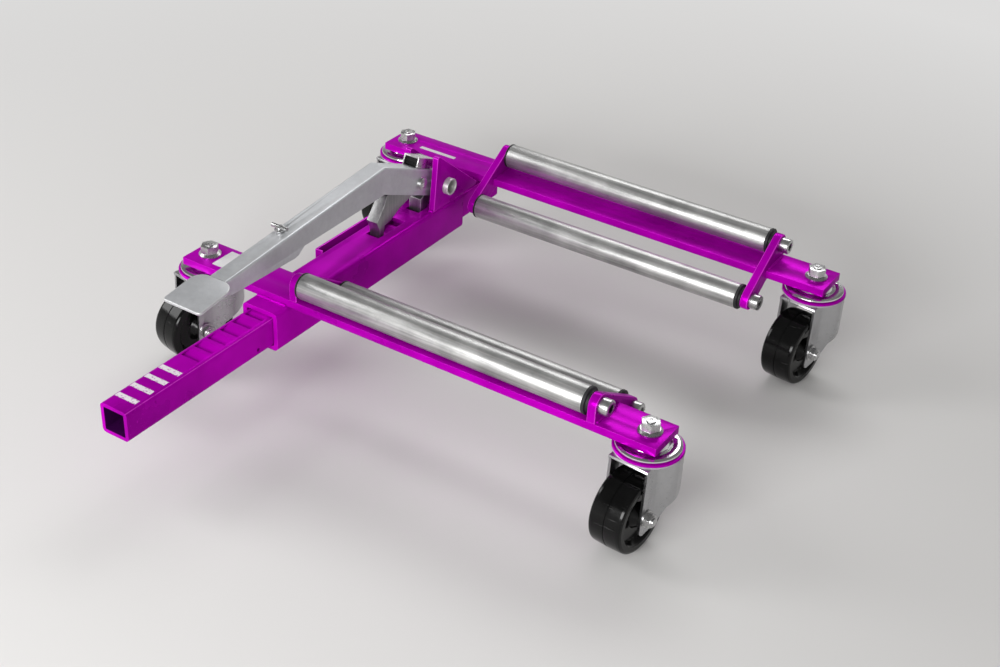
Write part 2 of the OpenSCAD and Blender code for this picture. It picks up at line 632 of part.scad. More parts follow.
// plan of the fork, as half widths over the distance u in front of the kingpin:
// parallel legs that swell out in a smooth bend to the round back
leg_u = 21;
bend_u = -2;
function bend(u) = let (t = max(0, min(1, (leg_u - u) / (leg_u - bend_u)))) t * t * (3 - 2 * t);
function fork_w(u, d) = fork_half - d + (sqrt(pow(fork_r - d, 2) - bend_u * bend_u) - fork_half + d) * bend(u);
module fork_plan(d, u1, h) {
    us = concat([u1], [for (i = [0 : 12]) leg_u + (bend_u - leg_u) * i / 12]);
    difference() {
        cylinder(h = h, r = fork_r - d);
        box([-fork_r - 1, -fork_r - 1, -1], [fork_r + 1, -bend_u - 0.01, h + 1]);
    }
    linear_extrude(height = h)
        polygon(concat([for (u = us) [fork_w(u, d), -u]],
                       [for (i = [len(us) - 1 : -1 : 0]) [-fork_w(us[i], d), -us[i]]]));
}
module fork() {
    top = fork_z;
    low = -axle_drop - 20;
    h = top - low;
    intersection() {
        difference() {
            translate([0, 0, low]) fork_plan(0, front_reach + 2, h);
            translate([0, 0, low - 1]) fork_plan(fork_t, front_reach + 4, h + 1 - fork_t);
            translate([0, 0, top - 10]) cylinder(h = 20, r = king_d / 2 + run);
            rod_x(-40, 40, -trail, -axle_drop, wheel_bolt_d / 2);
        }
        // side view: upright front edge, rounded foot, and a skirt that rises to the back
        yz_plate(-60, 60,
                 [[60, top + 1], [-36.5, top + 1], [-38, top - 2], [-36.5, top - 6],
                  [-front_reach, -axle_drop - 14], [-38.5, low + 2], [-34, low], [-20, low + 1.5],
                  [-14, low + 8], [-10.5, low + 17], [-6.6, low + 27], [0, low + 33], [13, low + 38],
                  [25, low + 43], [60, low + 54]]);
    }
}
// wheel: crowned tread with a mould seam, recessed sides, hub
module caster_wheel() {
    h = wheel_w / 2;
    R = wheel_r;
    half = [[wheel_bolt_d / 2 + run, hub_half], [10, hub_half], [12.5, h - 3], [16, h - 7], [R - 14, h - 7],
            [R - 11, h - 1.4], [R - 9.5, h], [R - 4.2, h], [R - 2, h - 0.7], [R - 0.8, h - 2],
            [R - 0.3, h - 4.5], [R, 3], [R, 0.9], [R - 0.7, 0.5], [R - 0.7, 0]];
    translate([0, -trail, -axle_drop]) rotate([0, 90, 0]) rotate_extrude()
        polygon([for (p = half) p, for (i = [len(half) - 2 : -1 : 0]) [half[i][0], -half[i][1]]]);
}
module wheel_bolt() {
    o = fork_half;
    translate([0, -trail, -axle_drop]) rotate([0, 90, 0]) {
        translate([0, 0, -o - 6]) cylinder(h = 2 * o + 16.5, r = wheel_bolt_d / 2);
        translate([0, 0, -o - 6]) cylinder(h = 6, r = 8.6, $fn = 6);
        translate([0, 0, o]) cylinder(h = 1.6, r = 9.8);
        translate([0, 0, o + 1.6 - eps]) cylinder(h = 6, r = 8.6, $fn = 6);
        translate([0, 0, o + 7.5]) cylinder(h = 1.4, r = 7);
    }
}

module fork_front_left() { color(zinc) place() at_fork(0) fork(); }
module fork_front_right() { color(zinc) place() at_fork(1) fork(); }
module fork_rear_left() { color(zinc) place() at_fork(2) fork(); }
module fork_rear_right() { color(zinc) place() at_fork(3) fork(); }
module ring_front_left() { color(paint) place() at_fork(0) swivel_ring(); }
module ring_front_right() { color(paint) place() at_fork(1) swivel_ring(); }
module ring_rear_left() { color(paint) place() at_fork(2) swivel_ring(); }
module ring_rear_right() { color(paint) place() at_fork(3) swivel_ring(); }
module wheel_front_left() { color(black) place() at_fork(0) caster_wheel(); }
module wheel_front_right() { color(black) place() at_fork(1) caster_wheel(); }
module wheel_rear_left() { color(black) place() at_fork(2) caster_wheel(); }
module wheel_rear_right() { color(black) place() at_fork(3) caster_wheel(); }
module wheel_bolt_front_left() { color(zinc) place() at_fork(0) wheel_bolt(); }
module wheel_bolt_front_right() { color(zinc) place() at_fork(1) wheel_bolt(); }
module wheel_bolt_rear_left() { color(zinc) place() at_fork(2) wheel_bolt(); }
module wheel_bolt_rear_right() { color(zinc) place() at_fork(3) wheel_bolt(); }

outer_tube();
front_bar();
front_bracket_left();
front_bracket_right();
pedal_gusset_left();
pedal_gusset_right();
pivot_tube();
pivot_spacer();
pedal_spring();
side_channel();
front_swivel_races();
front_kingpins();
front_upper_axle();
front_lower_axle();
sliding_tube();
rear_bar();
rear_spacer_pad();
rear_bracket_left();
rear_bracket_right();
rear_swivel_races();
rear_kingpins();
rear_upper_axle();
rear_lower_axle();
front_upper_roller();
front_lower_roller();
rear_upper_roller();
rear_lower_roller();
front_upper_caps();
front_lower_caps();
rear_upper_caps();
rear_lower_caps();
pedal_arm();
foot_plate();
stop_box();
stop_rubber();
pawl_bolt();
lock_pin();
drive_pawl();
holding_pawl();
fork_front_left();
fork_front_right();
fork_rear_left();
fork_rear_right();
ring_front_left();
ring_front_right();
ring_rear_left();
ring_rear_right();
wheel_front_left();
wheel_front_right();
wheel_rear_left();
wheel_rear_right();
wheel_bolt_front_left();
wheel_bolt_front_right();
wheel_bolt_rear_left();
wheel_bolt_rear_right();
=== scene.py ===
"""Looks of a foot-pumped vehicle positioning jack: finishes, rounded edges, welds, marks, studio."""
import json
import logging
import math
from dataclasses import dataclass, field
from enum import Enum

import bpy
from mathutils import Matrix, Vector

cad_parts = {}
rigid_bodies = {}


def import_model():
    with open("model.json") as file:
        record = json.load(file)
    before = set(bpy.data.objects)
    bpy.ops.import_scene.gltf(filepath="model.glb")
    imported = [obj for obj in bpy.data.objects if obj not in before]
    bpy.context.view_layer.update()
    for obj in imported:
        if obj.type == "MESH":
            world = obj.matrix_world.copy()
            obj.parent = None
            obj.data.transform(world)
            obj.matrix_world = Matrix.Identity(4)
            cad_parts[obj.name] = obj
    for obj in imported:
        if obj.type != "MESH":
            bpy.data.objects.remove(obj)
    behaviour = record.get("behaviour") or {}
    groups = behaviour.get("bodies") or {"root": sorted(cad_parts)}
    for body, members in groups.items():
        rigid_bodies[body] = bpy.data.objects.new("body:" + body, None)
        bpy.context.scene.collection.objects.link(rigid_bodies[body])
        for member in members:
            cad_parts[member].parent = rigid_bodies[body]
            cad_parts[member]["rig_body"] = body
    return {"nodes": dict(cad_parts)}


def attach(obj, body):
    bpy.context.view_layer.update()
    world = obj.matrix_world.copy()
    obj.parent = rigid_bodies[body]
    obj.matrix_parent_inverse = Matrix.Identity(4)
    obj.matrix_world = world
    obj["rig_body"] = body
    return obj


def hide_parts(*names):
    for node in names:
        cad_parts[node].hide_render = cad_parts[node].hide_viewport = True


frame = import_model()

log = logging.getLogger("jack")
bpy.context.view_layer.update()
FACES, EDGES = 0, 1  # material numbers of a rounded copy's faces and broken edges
# the layout's own origin, the front bar's near left top corner, in the frame of the model (metres)
LAYOUT = Vector((-0.3275, -0.10365, 0.12995))
MM = 0.001
Colour = tuple[float, float, float]
Point = tuple[float, float, float]
GroupStart = tuple[bpy.types.NodeTree, "Board", bpy.types.Node, bpy.types.Node]


def at(x: float, y: float, z: float) -> Vector:
    """Turns layout millimetres into the model's frame.

    Args:
        x: distance along the arms from the front bar's left end.
        y: distance behind the front bar's near edge.
        z: height above the bars' top.

    Returns:
        The point in metres.
    """
    return LAYOUT + Vector((x, y, z)) * MM


class Lay(Enum):
    """Which way a drawn or brushed surface's marks run: the texture's scale along X, Y and Z."""
    ALONG_X = (6.0, 420.0, 420.0)
    ALONG_Z = (420.0, 420.0, 9.0)
    NONE = (160.0, 160.0, 160.0)


# Node trees


class Board:
    """Short calls for adding and joining the nodes of one tree."""

    def __init__(self, tree: bpy.types.NodeTree) -> None:
        """Keeps the tree and empties it.

        Args:
            tree: the node tree of a material or a group.
        """
        self.tree = tree
        tree.nodes.clear()

    def add(self, kind: str, inputs: dict | None = None, **settings: object) -> bpy.types.Node:
        """Adds a node.

        Args:
            kind: the node's type name, without its "ShaderNode" prefix where it has one.
            inputs: values or output sockets for its inputs, by name or number.
            settings: properties of the node.

        Returns:
            The new node.
        """
        name = kind if kind.startswith("Node") else "ShaderNode" + kind
        node = self.tree.nodes.new(name)
        for key, value in settings.items():
            setattr(node, key, value)
        for key, value in (inputs or {}).items():
            if isinstance(value, bpy.types.NodeSocket):
                self.tree.links.new(value, node.inputs[key])
            else:
                node.inputs[key].default_value = value
        return node

    def maths(self, operation: str, a: object, b: object = 0.0, clamp: bool = False) -> bpy.types.NodeSocket:
        """Adds a Math node.

        Args:
            operation: its operation.
            a: first value or socket.
            b: second value or socket.
            clamp: whether the result is kept between 0 and 1.

        Returns:
            Its output.
        """
        return self.add("Math", {0: a, 1: b}, operation=operation, use_clamp=clamp).outputs[0]

    def mix(self, mask: object, a: object, b: object) -> bpy.types.NodeSocket:
        """Mixes two colours.

        Args:
            mask: 0 gives the first colour, 1 the second.
            a: first colour or socket.
            b: second colour or socket.

        Returns:
            The mixed colour's output.
        """
        node = self.add("Mix", data_type="RGBA")
        for key, value in ((0, mask), (6, a), (7, b)):
            if isinstance(value, bpy.types.NodeSocket):
                self.tree.links.new(value, node.inputs[key])
            elif key == 0:
                node.inputs[key].default_value = value
            else:
                node.inputs[key].default_value = (*value, 1.0)
        return node.outputs[2]

    def span(self, value: bpy.types.NodeSocket, low: float, high: float,
             to_low: float = 0.0, to_high: float = 1.0) -> bpy.types.NodeSocket:
        """Maps a value's range to another one, and keeps it there.

        Args:
            value: the socket to map.
            low: value that gives to_low.
            high: value that gives to_high.
            to_low: result at the low end.
            to_high: result at the high end.

        Returns:
            The mapped value's output.
        """
        return self.add("MapRange", {0: value, 1: low, 2: high, 3: to_low, 4: to_high}).outputs[0]


def group(name: str, inputs: dict[str, float], outputs: list[str]) -> GroupStart:
    """Starts a shader node group with float sockets and one vector called Place.

    Args:
        name: the group's name.
        inputs: names and defaults of its float inputs.
        outputs: names of its float outputs.

    Returns:
        The tree, its board, and its input and output nodes.
    """
    tree = bpy.data.node_groups.new(name, "ShaderNodeTree")
    board = Board(tree)
    tree.interface.new_socket("Place", in_out="INPUT", socket_type="NodeSocketVector")
    for key, value in inputs.items():
        tree.interface.new_socket(key, in_out="INPUT", socket_type="NodeSocketFloat").default_value = value
    for key in outputs:
        tree.interface.new_socket(key, in_out="OUTPUT", socket_type="NodeSocketFloat")
    return tree, board, board.add("NodeGroupInput"), board.add("NodeGroupOutput")


def grain_group() -> bpy.types.NodeTree:
    """Builds the fine texture that paint and plate share: small relief and slow patches.

    Returns:
        A group with the outputs Relief and Patches.
    """
    tree, b, given, out = group("fine_grain", {"Scale": 500.0, "Patch Scale": 14.0}, ["Relief", "Patches"])
    fine = b.add("TexNoise", {"Vector": given.outputs[0], "Scale": given.outputs[1], "Detail": 3.0})
    slow = b.add("TexNoise", {"Vector": given.outputs[0], "Scale": given.outputs[2], "Detail": 4.0,
                              "Roughness": 0.6})
    tree.links.new(fine.outputs[0], out.inputs[0])
    tree.links.new(b.span(slow.outputs[0], 0.3, 0.7), out.inputs[1])
    return tree


def wear_group() -> bpy.types.NodeTree:
    """Builds the mask of broken edges, where finishes paint wear and a highlight, and of small chips, from
    the edge attribute of rounded pieces.

    Returns:
        A group with the outputs Edge, Chips and Scuffs.
    """
    tree, b, given, out = group("edge_wear", {"Chip Scale": 260.0, "Amount": 0.5},
                                ["Edge", "Chips", "Scuffs"])
    edge = b.add("Attribute", attribute_name="edge").outputs["Fac"]
    noise = b.add("TexNoise", {"Vector": given.outputs[0], "Scale": given.outputs[1], "Detail": 5.0,
                               "Roughness": 0.65}).outputs[0]
    limit = b.maths("SUBTRACT", 0.78, b.maths("MULTIPLY", given.outputs[2], 0.3))
    raised = b.maths("SUBTRACT", noise, limit)
    chips = b.maths("MULTIPLY", b.span(raised, 0.0, 0.04), edge)
    stretched = b.add("Mapping", {"Vector": given.outputs[0], "Rotation": (0.3, 0.2, 0.7),
                                  "Scale": (30.0, 330.0, 330.0)}).outputs[0]
    lines = b.add("TexNoise", {"Vector": stretched, "Scale": 1.0, "Detail": 2.0}).outputs[0]
    tree.links.new(edge, out.inputs[0])
    tree.links.new(chips, out.inputs[1])
    tree.links.new(b.span(lines, 0.68, 0.76), out.inputs[2])
    return tree


def lines_group() -> bpy.types.NodeTree:
    """Builds the drawn or brushed marks of bare metal, longer one way than the others.

    Returns:
        A group with the outputs Lines and Spots.
    """
    tree, b, given, out = group("drawn_lines", {"Scale X": 6.0, "Scale Y": 420.0, "Scale Z": 420.0},
                                ["Lines", "Spots"])
    scale = b.add("CombineXYZ", {0: given.outputs[1], 1: given.outputs[2], 2: given.outputs[3]})
    place = b.add("VectorMath", {0: given.outputs[0], 1: scale.outputs[0]}, operation="MULTIPLY").outputs[0]
    lines = b.add("TexNoise", {"Vector": place, "Scale": 1.0, "Detail": 4.0, "Roughness": 0.7}).outputs[0]
    spots = b.add("TexNoise", {"Vector": given.outputs[0], "Scale": 95.0, "Detail": 4.0}).outputs[0]
    tree.links.new(b.span(lines, 0.25, 0.75), out.inputs[0])
    tree.links.new(b.span(spots, 0.62, 0.72), out.inputs[1])
    return tree


@dataclass
class Effects:
    """The node groups that the finishes share."""
    grain: bpy.types.NodeTree = field(default_factory=grain_group)
    wear: bpy.types.NodeTree = field(default_factory=wear_group)
    lines: bpy.types.NodeTree = field(default_factory=lines_group)

    @staticmethod
    def place(board: Board, tree: bpy.types.NodeTree, **values: float) -> bpy.types.Node:
        """Adds one of the groups to a material, on Object coordinates.

        Args:
            board: the material's board.
            tree: the group.
            values: its inputs, with underscores for spaces.

        Returns:
            The group's node.
        """
        where = board.add("TexCoord").outputs["Object"]
        node = board.add("Group", node_tree=tree)
        board.tree.links.new(where, node.inputs["Place"])
        for key, value in values.items():
            node.inputs[key.replace("_", " ")].default_value = value
        return node


# Finishes


@dataclass(frozen=True)
class Finish:
    """What every finish has: a name, the scales of its textures, and how its material starts and ends.

    Scales are the textures' own, so a larger one gives finer marks. The relief's depth is in metres.
    """
    name: str
    grain: float = 700.0
    patches: float = 26.0
    chips: float = 300.0
    worn: float = 0.3
    relief: float = 0.12
    depth: float = 0.0003

    def begin(self, effects: Effects) -> tuple[bpy.types.Material, Board, bpy.types.Node]:
        """Makes the material, with nothing in it but the fine grain.

        Args:
            effects: the shared node groups.

        Returns:
            The material, its board and the grain's node.
        """
        material = bpy.data.materials.new(self.name)
        material.use_nodes = True
        board = Board(material.node_tree)
        grain = effects.place(board, effects.grain, Scale=self.grain, Patch_Scale=self.patches)
        return material, board, grain

    def wear(self, board: Board, effects: Effects) -> bpy.types.Node:
        """Adds the wear.

        Args:
            board: the material's board.
            effects: the shared node groups.

        Returns:
            The wear's node.
        """
        return effects.place(board, effects.wear, Chip_Scale=self.chips, Amount=self.worn)

    def end(self, board: Board, surface: dict, height: bpy.types.NodeSocket) -> None:
        """Adds the surface shader and its relief.

        Args:
            board: the material's board.
            surface: inputs of the Principled shader.
            height: height of the relief.
        """
        shader = board.add("BsdfPrincipled", surface)
        bump = board.add("Bump", {"Strength": self.relief, "Distance": self.depth, "Height": height})
        board.tree.links.new(bump.outputs[0], shader.inputs["Normal"])
        out = board.add("OutputMaterial")
        board.tree.links.new(shader.outputs[0], out.inputs[0])

    def build(self, effects: Effects) -> bpy.types.Material:
        """Builds the material: each finish says how.

        Args:
            effects: the shared node groups, not used here.

        Returns:
            The material.
        """
        raise NotImplementedError(self.name)


@dataclass(frozen=True)
class PowderCoat(Finish):
    """Glossy magenta powder coat with primer in its chips; its edges are painted paler, partly as worn
    paint, partly as a painted highlight.

    The last three colours are those of the zones that a special coat may have.
    """
    deep: Colour = (0.33, 0.0, 0.325)
    bright: Colour = (0.56, 0.0, 0.545)
    # pale pink of worn paint, also used as a painted highlight on edges and corners
    worn_and_highlight: Colour = (0.86, 0.06, 0.80)
    primer: Colour = (0.55, 0.36, 0.52)
    metallic: float = 0.34
    roughness: float = 0.25
    spread: float = 0.10
    specular: float = 0.03
    tinge: Colour = (0.8, 0.1, 0.8)
    scuffed: float = 0.10
    dulled: float = 0.12
    # how strongly every broken edge is painted pale: partly worn paint, partly a painted highlight
    edge_wear_and_highlight: float = 0.8
    grain: float = 620.0
    patches: float = 9.0
    chips: float = 240.0
    worn: float = 0.35
    relief: float = 0.10
    depth: float = 0.0004
    white: Colour = (0.80, 0.76, 0.80)
    # painted shade for the hollow inside of a tube
    inside_shade: Colour = (0.065, 0.004, 0.095)
    plate: Colour = (0.47, 0.42, 0.48)

    def zones(self, board: Board) -> dict[str, bpy.types.NodeSocket]:
        """Lets a special coat look different in places: this one is the same all over.

        Args:
            board: the material's board, not used here.

        Returns:
            Masks of the zones "corners" (painted highlight), "inside" (painted shade), "plate" and "marks",
            where the coat has them.
        """
        return {}

    def build(self, effects: Effects) -> bpy.types.Material:
        """Builds the material.

        Args:
            effects: the shared node groups.

        Returns:
            The material.
        """
        material, b, grain = self.begin(effects)
        wear = self.wear(b, effects)
        base = b.mix(grain.outputs["Patches"], self.deep, self.bright)
        base = b.mix(b.maths("MULTIPLY", wear.outputs["Scuffs"], self.scuffed), base, self.worn_and_highlight)
        # every broken edge is painted pale pink: partly worn paint, partly a painted highlight
        base = b.mix(b.maths("MULTIPLY", wear.outputs["Edge"], self.edge_wear_and_highlight), base, self.worn_and_highlight)
        base = b.mix(wear.outputs["Chips"], base, self.primer)
        metallic: object = self.metallic
        zones = self.zones(b)
        # corners get a painted highlight and the inside painted shade; plate and marks are the coat's own
        # colours
        for zone, colour in (("corners", self.worn_and_highlight), ("inside", self.inside_shade), ("plate", self.plate),
                             ("marks", self.white)):
            if zone in zones:
                base = b.mix(zones[zone], base, colour)
        if "marks" in zones:
            metallic = b.span(zones["marks"], 0.0, 1.0, self.metallic, 0.0)
        rough = b.maths("ADD", b.maths("MULTIPLY", grain.outputs["Patches"], self.spread), self.roughness)
        rough = b.maths("ADD", rough, b.maths("MULTIPLY", wear.outputs["Scuffs"], self.dulled))
        self.end(b, {"Base Color": base, "Roughness": rough, "Metallic": metallic,
                     "Specular IOR Level": self.specular, "Specular Tint": (*self.tinge, 1.0)},
                 grain.outputs["Relief"])
        return material


@dataclass(frozen=True)
class StripedCoat(PowderCoat):
    """The sliding tube's coat: four white bars across its top, a painted highlight along its corners that
    also stands for worn paint, and painted shade inside.

    Sizes are in layout millimetres, from the tube's own middle line for its core and corners. Only the
    bars' ragged edge is in metres.
    """
    bars_y: tuple[float, ...] = (-233.6, -211.4, -190.0, -168.4)
    bar_half: float = 3.7
    left: float = 122.6
    right: float = 152.2
    above: float = -17.2
    ragged: float = 0.0018
    core: tuple[float, float] = (138.0, -35.4)
    core_half: float = 14.4
    corner_from: float = 16.9
    corner_blend: float = 0.4
    specks: float = 420.0

    def bars(self, b: Board, xyz: bpy.types.Node, rough: bpy.types.NodeSocket) -> bpy.types.NodeSocket:
        """Paints the bars, thin and broken at their edges.

        Args:
            b: the material's board.
            xyz: the node that gives the place's three values.
            rough: fine noise.

        Returns:
            A mask of the bars.
        """
        shift = b.maths("MULTIPLY", b.maths("SUBTRACT", rough, 0.5), self.ragged)
        y = b.maths("ADD", xyz.outputs[1], shift)
        mask: object = 0.0
        for centre in self.bars_y:
            off = b.maths("ABSOLUTE", b.maths("SUBTRACT", y, at(0, centre, 0).y))
            mask = b.maths("ADD", mask, b.maths("LESS_THAN", off, self.bar_half * MM))
        middle = at((self.left + self.right) / 2, 0, 0).x
        off = b.maths("ABSOLUTE", b.maths("SUBTRACT", b.maths("ADD", xyz.outputs[0], shift), middle))
        mask = b.maths("MULTIPLY", mask, b.maths("LESS_THAN", off, (self.right - self.left) / 2 * MM))
        mask = b.maths("MULTIPLY", mask, b.maths("GREATER_THAN", xyz.outputs[2], at(0, 0, self.above).z))
        worn = b.span(rough, 0.36, 0.44, 0.35, 1.0)
        return b.maths("MULTIPLY", mask, worn, True)

    def zones(self, board: Board) -> dict[str, bpy.types.NodeSocket]:
        """Marks the tube's corners, which get a painted highlight, its inside, which gets painted shade, and
        the painted bars.

        Args:
            board: the material's board.

        Returns:
            Their masks.
        """
        b = board
        where = b.add("TexCoord").outputs["Object"]
        rough = b.add("TexNoise", {"Vector": where, "Scale": self.specks, "Detail": 4.0}).outputs[0]
        xyz = b.add("SeparateXYZ", {0: where})
        centre = at(self.core[0], 0, self.core[1])
        across = b.maths("ABSOLUTE", b.maths("SUBTRACT", xyz.outputs[0], centre.x))
        upward = b.maths("ABSOLUTE", b.maths("SUBTRACT", xyz.outputs[2], centre.z))
        # painted shade on the tube's inner faces, within the core
        inside = b.maths("LESS_THAN", b.maths("MAXIMUM", across, upward), self.core_half * MM)
        # painted highlight along the middle of each rounded corner, broken by noise
        nearest = b.maths("MINIMUM", across, upward)
        corners = b.span(nearest, self.corner_from * MM, (self.corner_from + self.corner_blend) * MM)
        corners = b.maths("MULTIPLY", corners, b.span(rough, 0.35, 0.5, 0.35, 0.8))
        return {"corners": corners, "inside": inside, "marks": self.bars(b, xyz, rough)}


@dataclass(frozen=True)
class RingCoat(PowderCoat):
    """The casters' rings: painted on their upper rim, bare plate below the line (layout millimetres)."""
    line: float = -19.1

    def zones(self, board: Board) -> dict[str, bpy.types.NodeSocket]:
        """Marks the bare lower part.

        Args:
            board: the material's board.

        Returns:
            Its mask.
        """
        height = board.add("SeparateXYZ", {0: board.add("TexCoord").outputs["Object"]}).outputs[2]
        return {"plate": board.maths("LESS_THAN", height, at(0, 0, self.line).z)}


@dataclass(frozen=True)
class BareMetal(Finish):
    """Plated or machined steel with drawn lines, dull spots and brighter edges, partly worn metal, partly a
    painted highlight.
    """
    dark: Colour = (0.42, 0.42, 0.43)
    light: Colour = (0.64, 0.64, 0.64)
    roughness: float = 0.28
    spread: float = 0.16
    lay: Lay = Lay.NONE
    metallic: float = 1.0
    # brighter steel on the broken edges: worn metal and a painted highlight
    worn_and_highlight: Colour = (0.82, 0.82, 0.81)
    drawn: float = 0.6
    patchy: float = 0.4
    spotted: float = 0.25
    edge_wear_and_highlight: float = 0.45

    def build(self, effects: Effects) -> bpy.types.Material:
        """Builds the material.

        Args:
            effects: the shared node groups.

        Returns:
            The material.
        """
        material, b, grain = self.begin(effects)
        wear = self.wear(b, effects)
        x, y, z = self.lay.value
        drawn = effects.place(b, effects.lines, Scale_X=x, Scale_Y=y, Scale_Z=z)
        mix = b.maths("MULTIPLY", drawn.outputs["Lines"], self.drawn)
        mix = b.maths("ADD", mix, b.maths("MULTIPLY", grain.outputs["Patches"], self.patchy), True)
        base = b.mix(mix, self.dark, self.light)
        base = b.mix(b.maths("MULTIPLY", drawn.outputs["Spots"], self.spotted), base, self.dark)
        # broken edges painted brighter: partly worn metal, partly a painted highlight
        base = b.mix(b.maths("MULTIPLY", wear.outputs["Edge"], self.edge_wear_and_highlight), base, self.worn_and_highlight)
        rough = b.maths("ADD", b.maths("MULTIPLY", mix, self.spread), self.roughness)
        self.end(b, {"Base Color": base, "Roughness": rough, "Metallic": self.metallic},
                 drawn.outputs["Lines"])
        return material


@dataclass(frozen=True)
class Moulded(Finish):
    """Moulded plastic or rubber: dark, slightly uneven, dusty in its patches."""
    dark: Colour = (0.012, 0.012, 0.013)
    light: Colour = (0.03, 0.03, 0.032)
    roughness: float = 0.4
    spread: float = 0.15
    specular: float = 0.22
    dusty: Colour = (0.10, 0.10, 0.10)
    dust: float = 0.25
    dulled: float = 0.2
    grain: float = 900.0
    patches: float = 30.0
    chips: float = 200.0
    worn: float = 0.2
    relief: float = 0.06

    def build(self, effects: Effects) -> bpy.types.Material:
        """Builds the material.

        Args:
            effects: the shared node groups.

        Returns:
            The material.
        """
        material, b, grain = self.begin(effects)
        wear = self.wear(b, effects)
        base = b.mix(grain.outputs["Patches"], self.dark, self.light)
        base = b.mix(b.maths("MULTIPLY", wear.outputs["Scuffs"], self.dust), base, self.dusty)
        rough = b.maths("ADD", b.maths("MULTIPLY", grain.outputs["Patches"], self.spread), self.roughness)
        rough = b.maths("ADD", rough, b.maths("MULTIPLY", wear.outputs["Scuffs"], self.dulled), True)
        self.end(b, {"Base Color": base, "Roughness": rough, "Specular IOR Level": self.specular},
                 grain.outputs["Relief"])
        return material


@dataclass(frozen=True)
class Film(Finish):
    """Blank white label film, a little grey where it is handled."""
    white: Colour = (0.78, 0.77, 0.78)
    soiled: Colour = (0.60, 0.56, 0.60)
    handled: float = 0.5
    roughness: float = 0.35
    grain: float = 300.0
    patches: float = 120.0
    relief: float = 0.05
    depth: float = 0.0002

    def build(self, effects: Effects) -> bpy.types.Material:
        """Builds the material.

        Args:
            effects: the shared node groups.

        Returns:
            The material.
        """
        material, b, grain = self.begin(effects)
        base = b.mix(b.maths("MULTIPLY", grain.outputs["Patches"], self.handled), self.white, self.soiled)
        self.end(b, {"Base Color": base, "Roughness": self.roughness}, grain.outputs["Relief"])
        return material


@dataclass
class Wardrobe:
    """All finishes of the jack, built once."""
    effects: Effects
    made: dict[str, bpy.types.Material] = field(default_factory=dict)

    def build(self) -> None:
        """Builds each finish."""
        finishes: list[Finish] = [
            PowderCoat("purple_coat"),
            StripedCoat("purple_coat_with_bars"),
            RingCoat("purple_ring", worn=0.2, roughness=0.30),
            BareMetal("bright_zinc", roughness=0.20, light=(0.66, 0.66, 0.65), dark=(0.36, 0.36, 0.37)),
            BareMetal("tube_zinc", roughness=0.34, metallic=0.6, light=(0.74, 0.74, 0.72),
                      dark=(0.50, 0.50, 0.49)),
            BareMetal("roller_zinc", lay=Lay.ALONG_X, roughness=0.30, relief=0.35, metallic=0.82,
                      dark=(0.21, 0.21, 0.21), light=(0.66, 0.66, 0.65)),
            BareMetal("pedal_silver", lay=Lay.NONE, roughness=0.38, metallic=0.75, relief=0.05,
                      dark=(0.52, 0.53, 0.55), light=(0.66, 0.67, 0.69)),
            BareMetal("fork_plate", lay=Lay.NONE, roughness=0.22, relief=0.03,
                      dark=(0.40, 0.40, 0.41), light=(0.48, 0.48, 0.49)),
            BareMetal("race_plate", roughness=0.12, spread=0.08, relief=0.03,
                      dark=(0.62, 0.62, 0.63), light=(0.78, 0.78, 0.78)),
            BareMetal("pawl_steel", lay=Lay.ALONG_Z, roughness=0.30, relief=0.2,
                      dark=(0.22, 0.22, 0.23), light=(0.46, 0.46, 0.46)),
            Moulded("black_caps", roughness=0.42),
            Moulded("black_rubber", roughness=0.62, specular=0.2, light=(0.022, 0.022, 0.022)),
            Moulded("wheel_gloss", roughness=0.12, spread=0.05, specular=0.22,
                    dark=(0.0015, 0.0015, 0.0015), light=(0.004, 0.004, 0.004)),
            Film("blank_film"),
        ]
        for finish in finishes:
            self.made[finish.name] = finish.build(self.effects)
            log.info("finish %s", finish.name)

    def dress(self, piece: bpy.types.Object, name: str) -> None:
        """Puts a finish on a piece or CAD node.

        Args:
            piece: the object.
            name: the finish's name.
        """
        piece.data.materials.clear()
        piece.data.materials.append(self.made[name])


# Modelling tools


def alone(piece: bpy.types.Object | None) -> None:
    """Deselects everything and makes one object selected and active.

    Args:
        piece: the object, or None for nothing.
    """
    for other in bpy.context.selected_objects:
        other.select_set(False)
    bpy.context.view_layer.objects.active = piece
    if piece is not None:
        piece.select_set(True)


def settle(piece: bpy.types.Object) -> None:
    """Applies a piece's place, turn and scale, so that its own origin is the model's.

    Args:
        piece: the object.
    """
    alone(piece)
    bpy.ops.object.transform_apply(location=True, rotation=True, scale=True)


def apply_modifier(piece: bpy.types.Object, kind: str, **settings: object) -> None:
    """Adds a modifier and applies it.

    Args:
        piece: the object.
        kind: the modifier's type.
        settings: its properties.
    """
    alone(piece)
    modifier = piece.modifiers.new(kind.lower(), kind)
    for key, value in settings.items():
        setattr(modifier, key, value)
    bpy.ops.object.modifier_apply(modifier=modifier.name)


def joined(pieces: list[bpy.types.Object], name: str) -> bpy.types.Object:
    """Joins several objects into the first of them.

    Args:
        pieces: the objects.
        name: the joined piece's name.

    Returns:
        The joined piece.
    """
    alone(pieces[0])
    for piece in pieces:
        piece.select_set(True)
    bpy.ops.object.join()
    pieces[0].name = name
    return pieces[0]


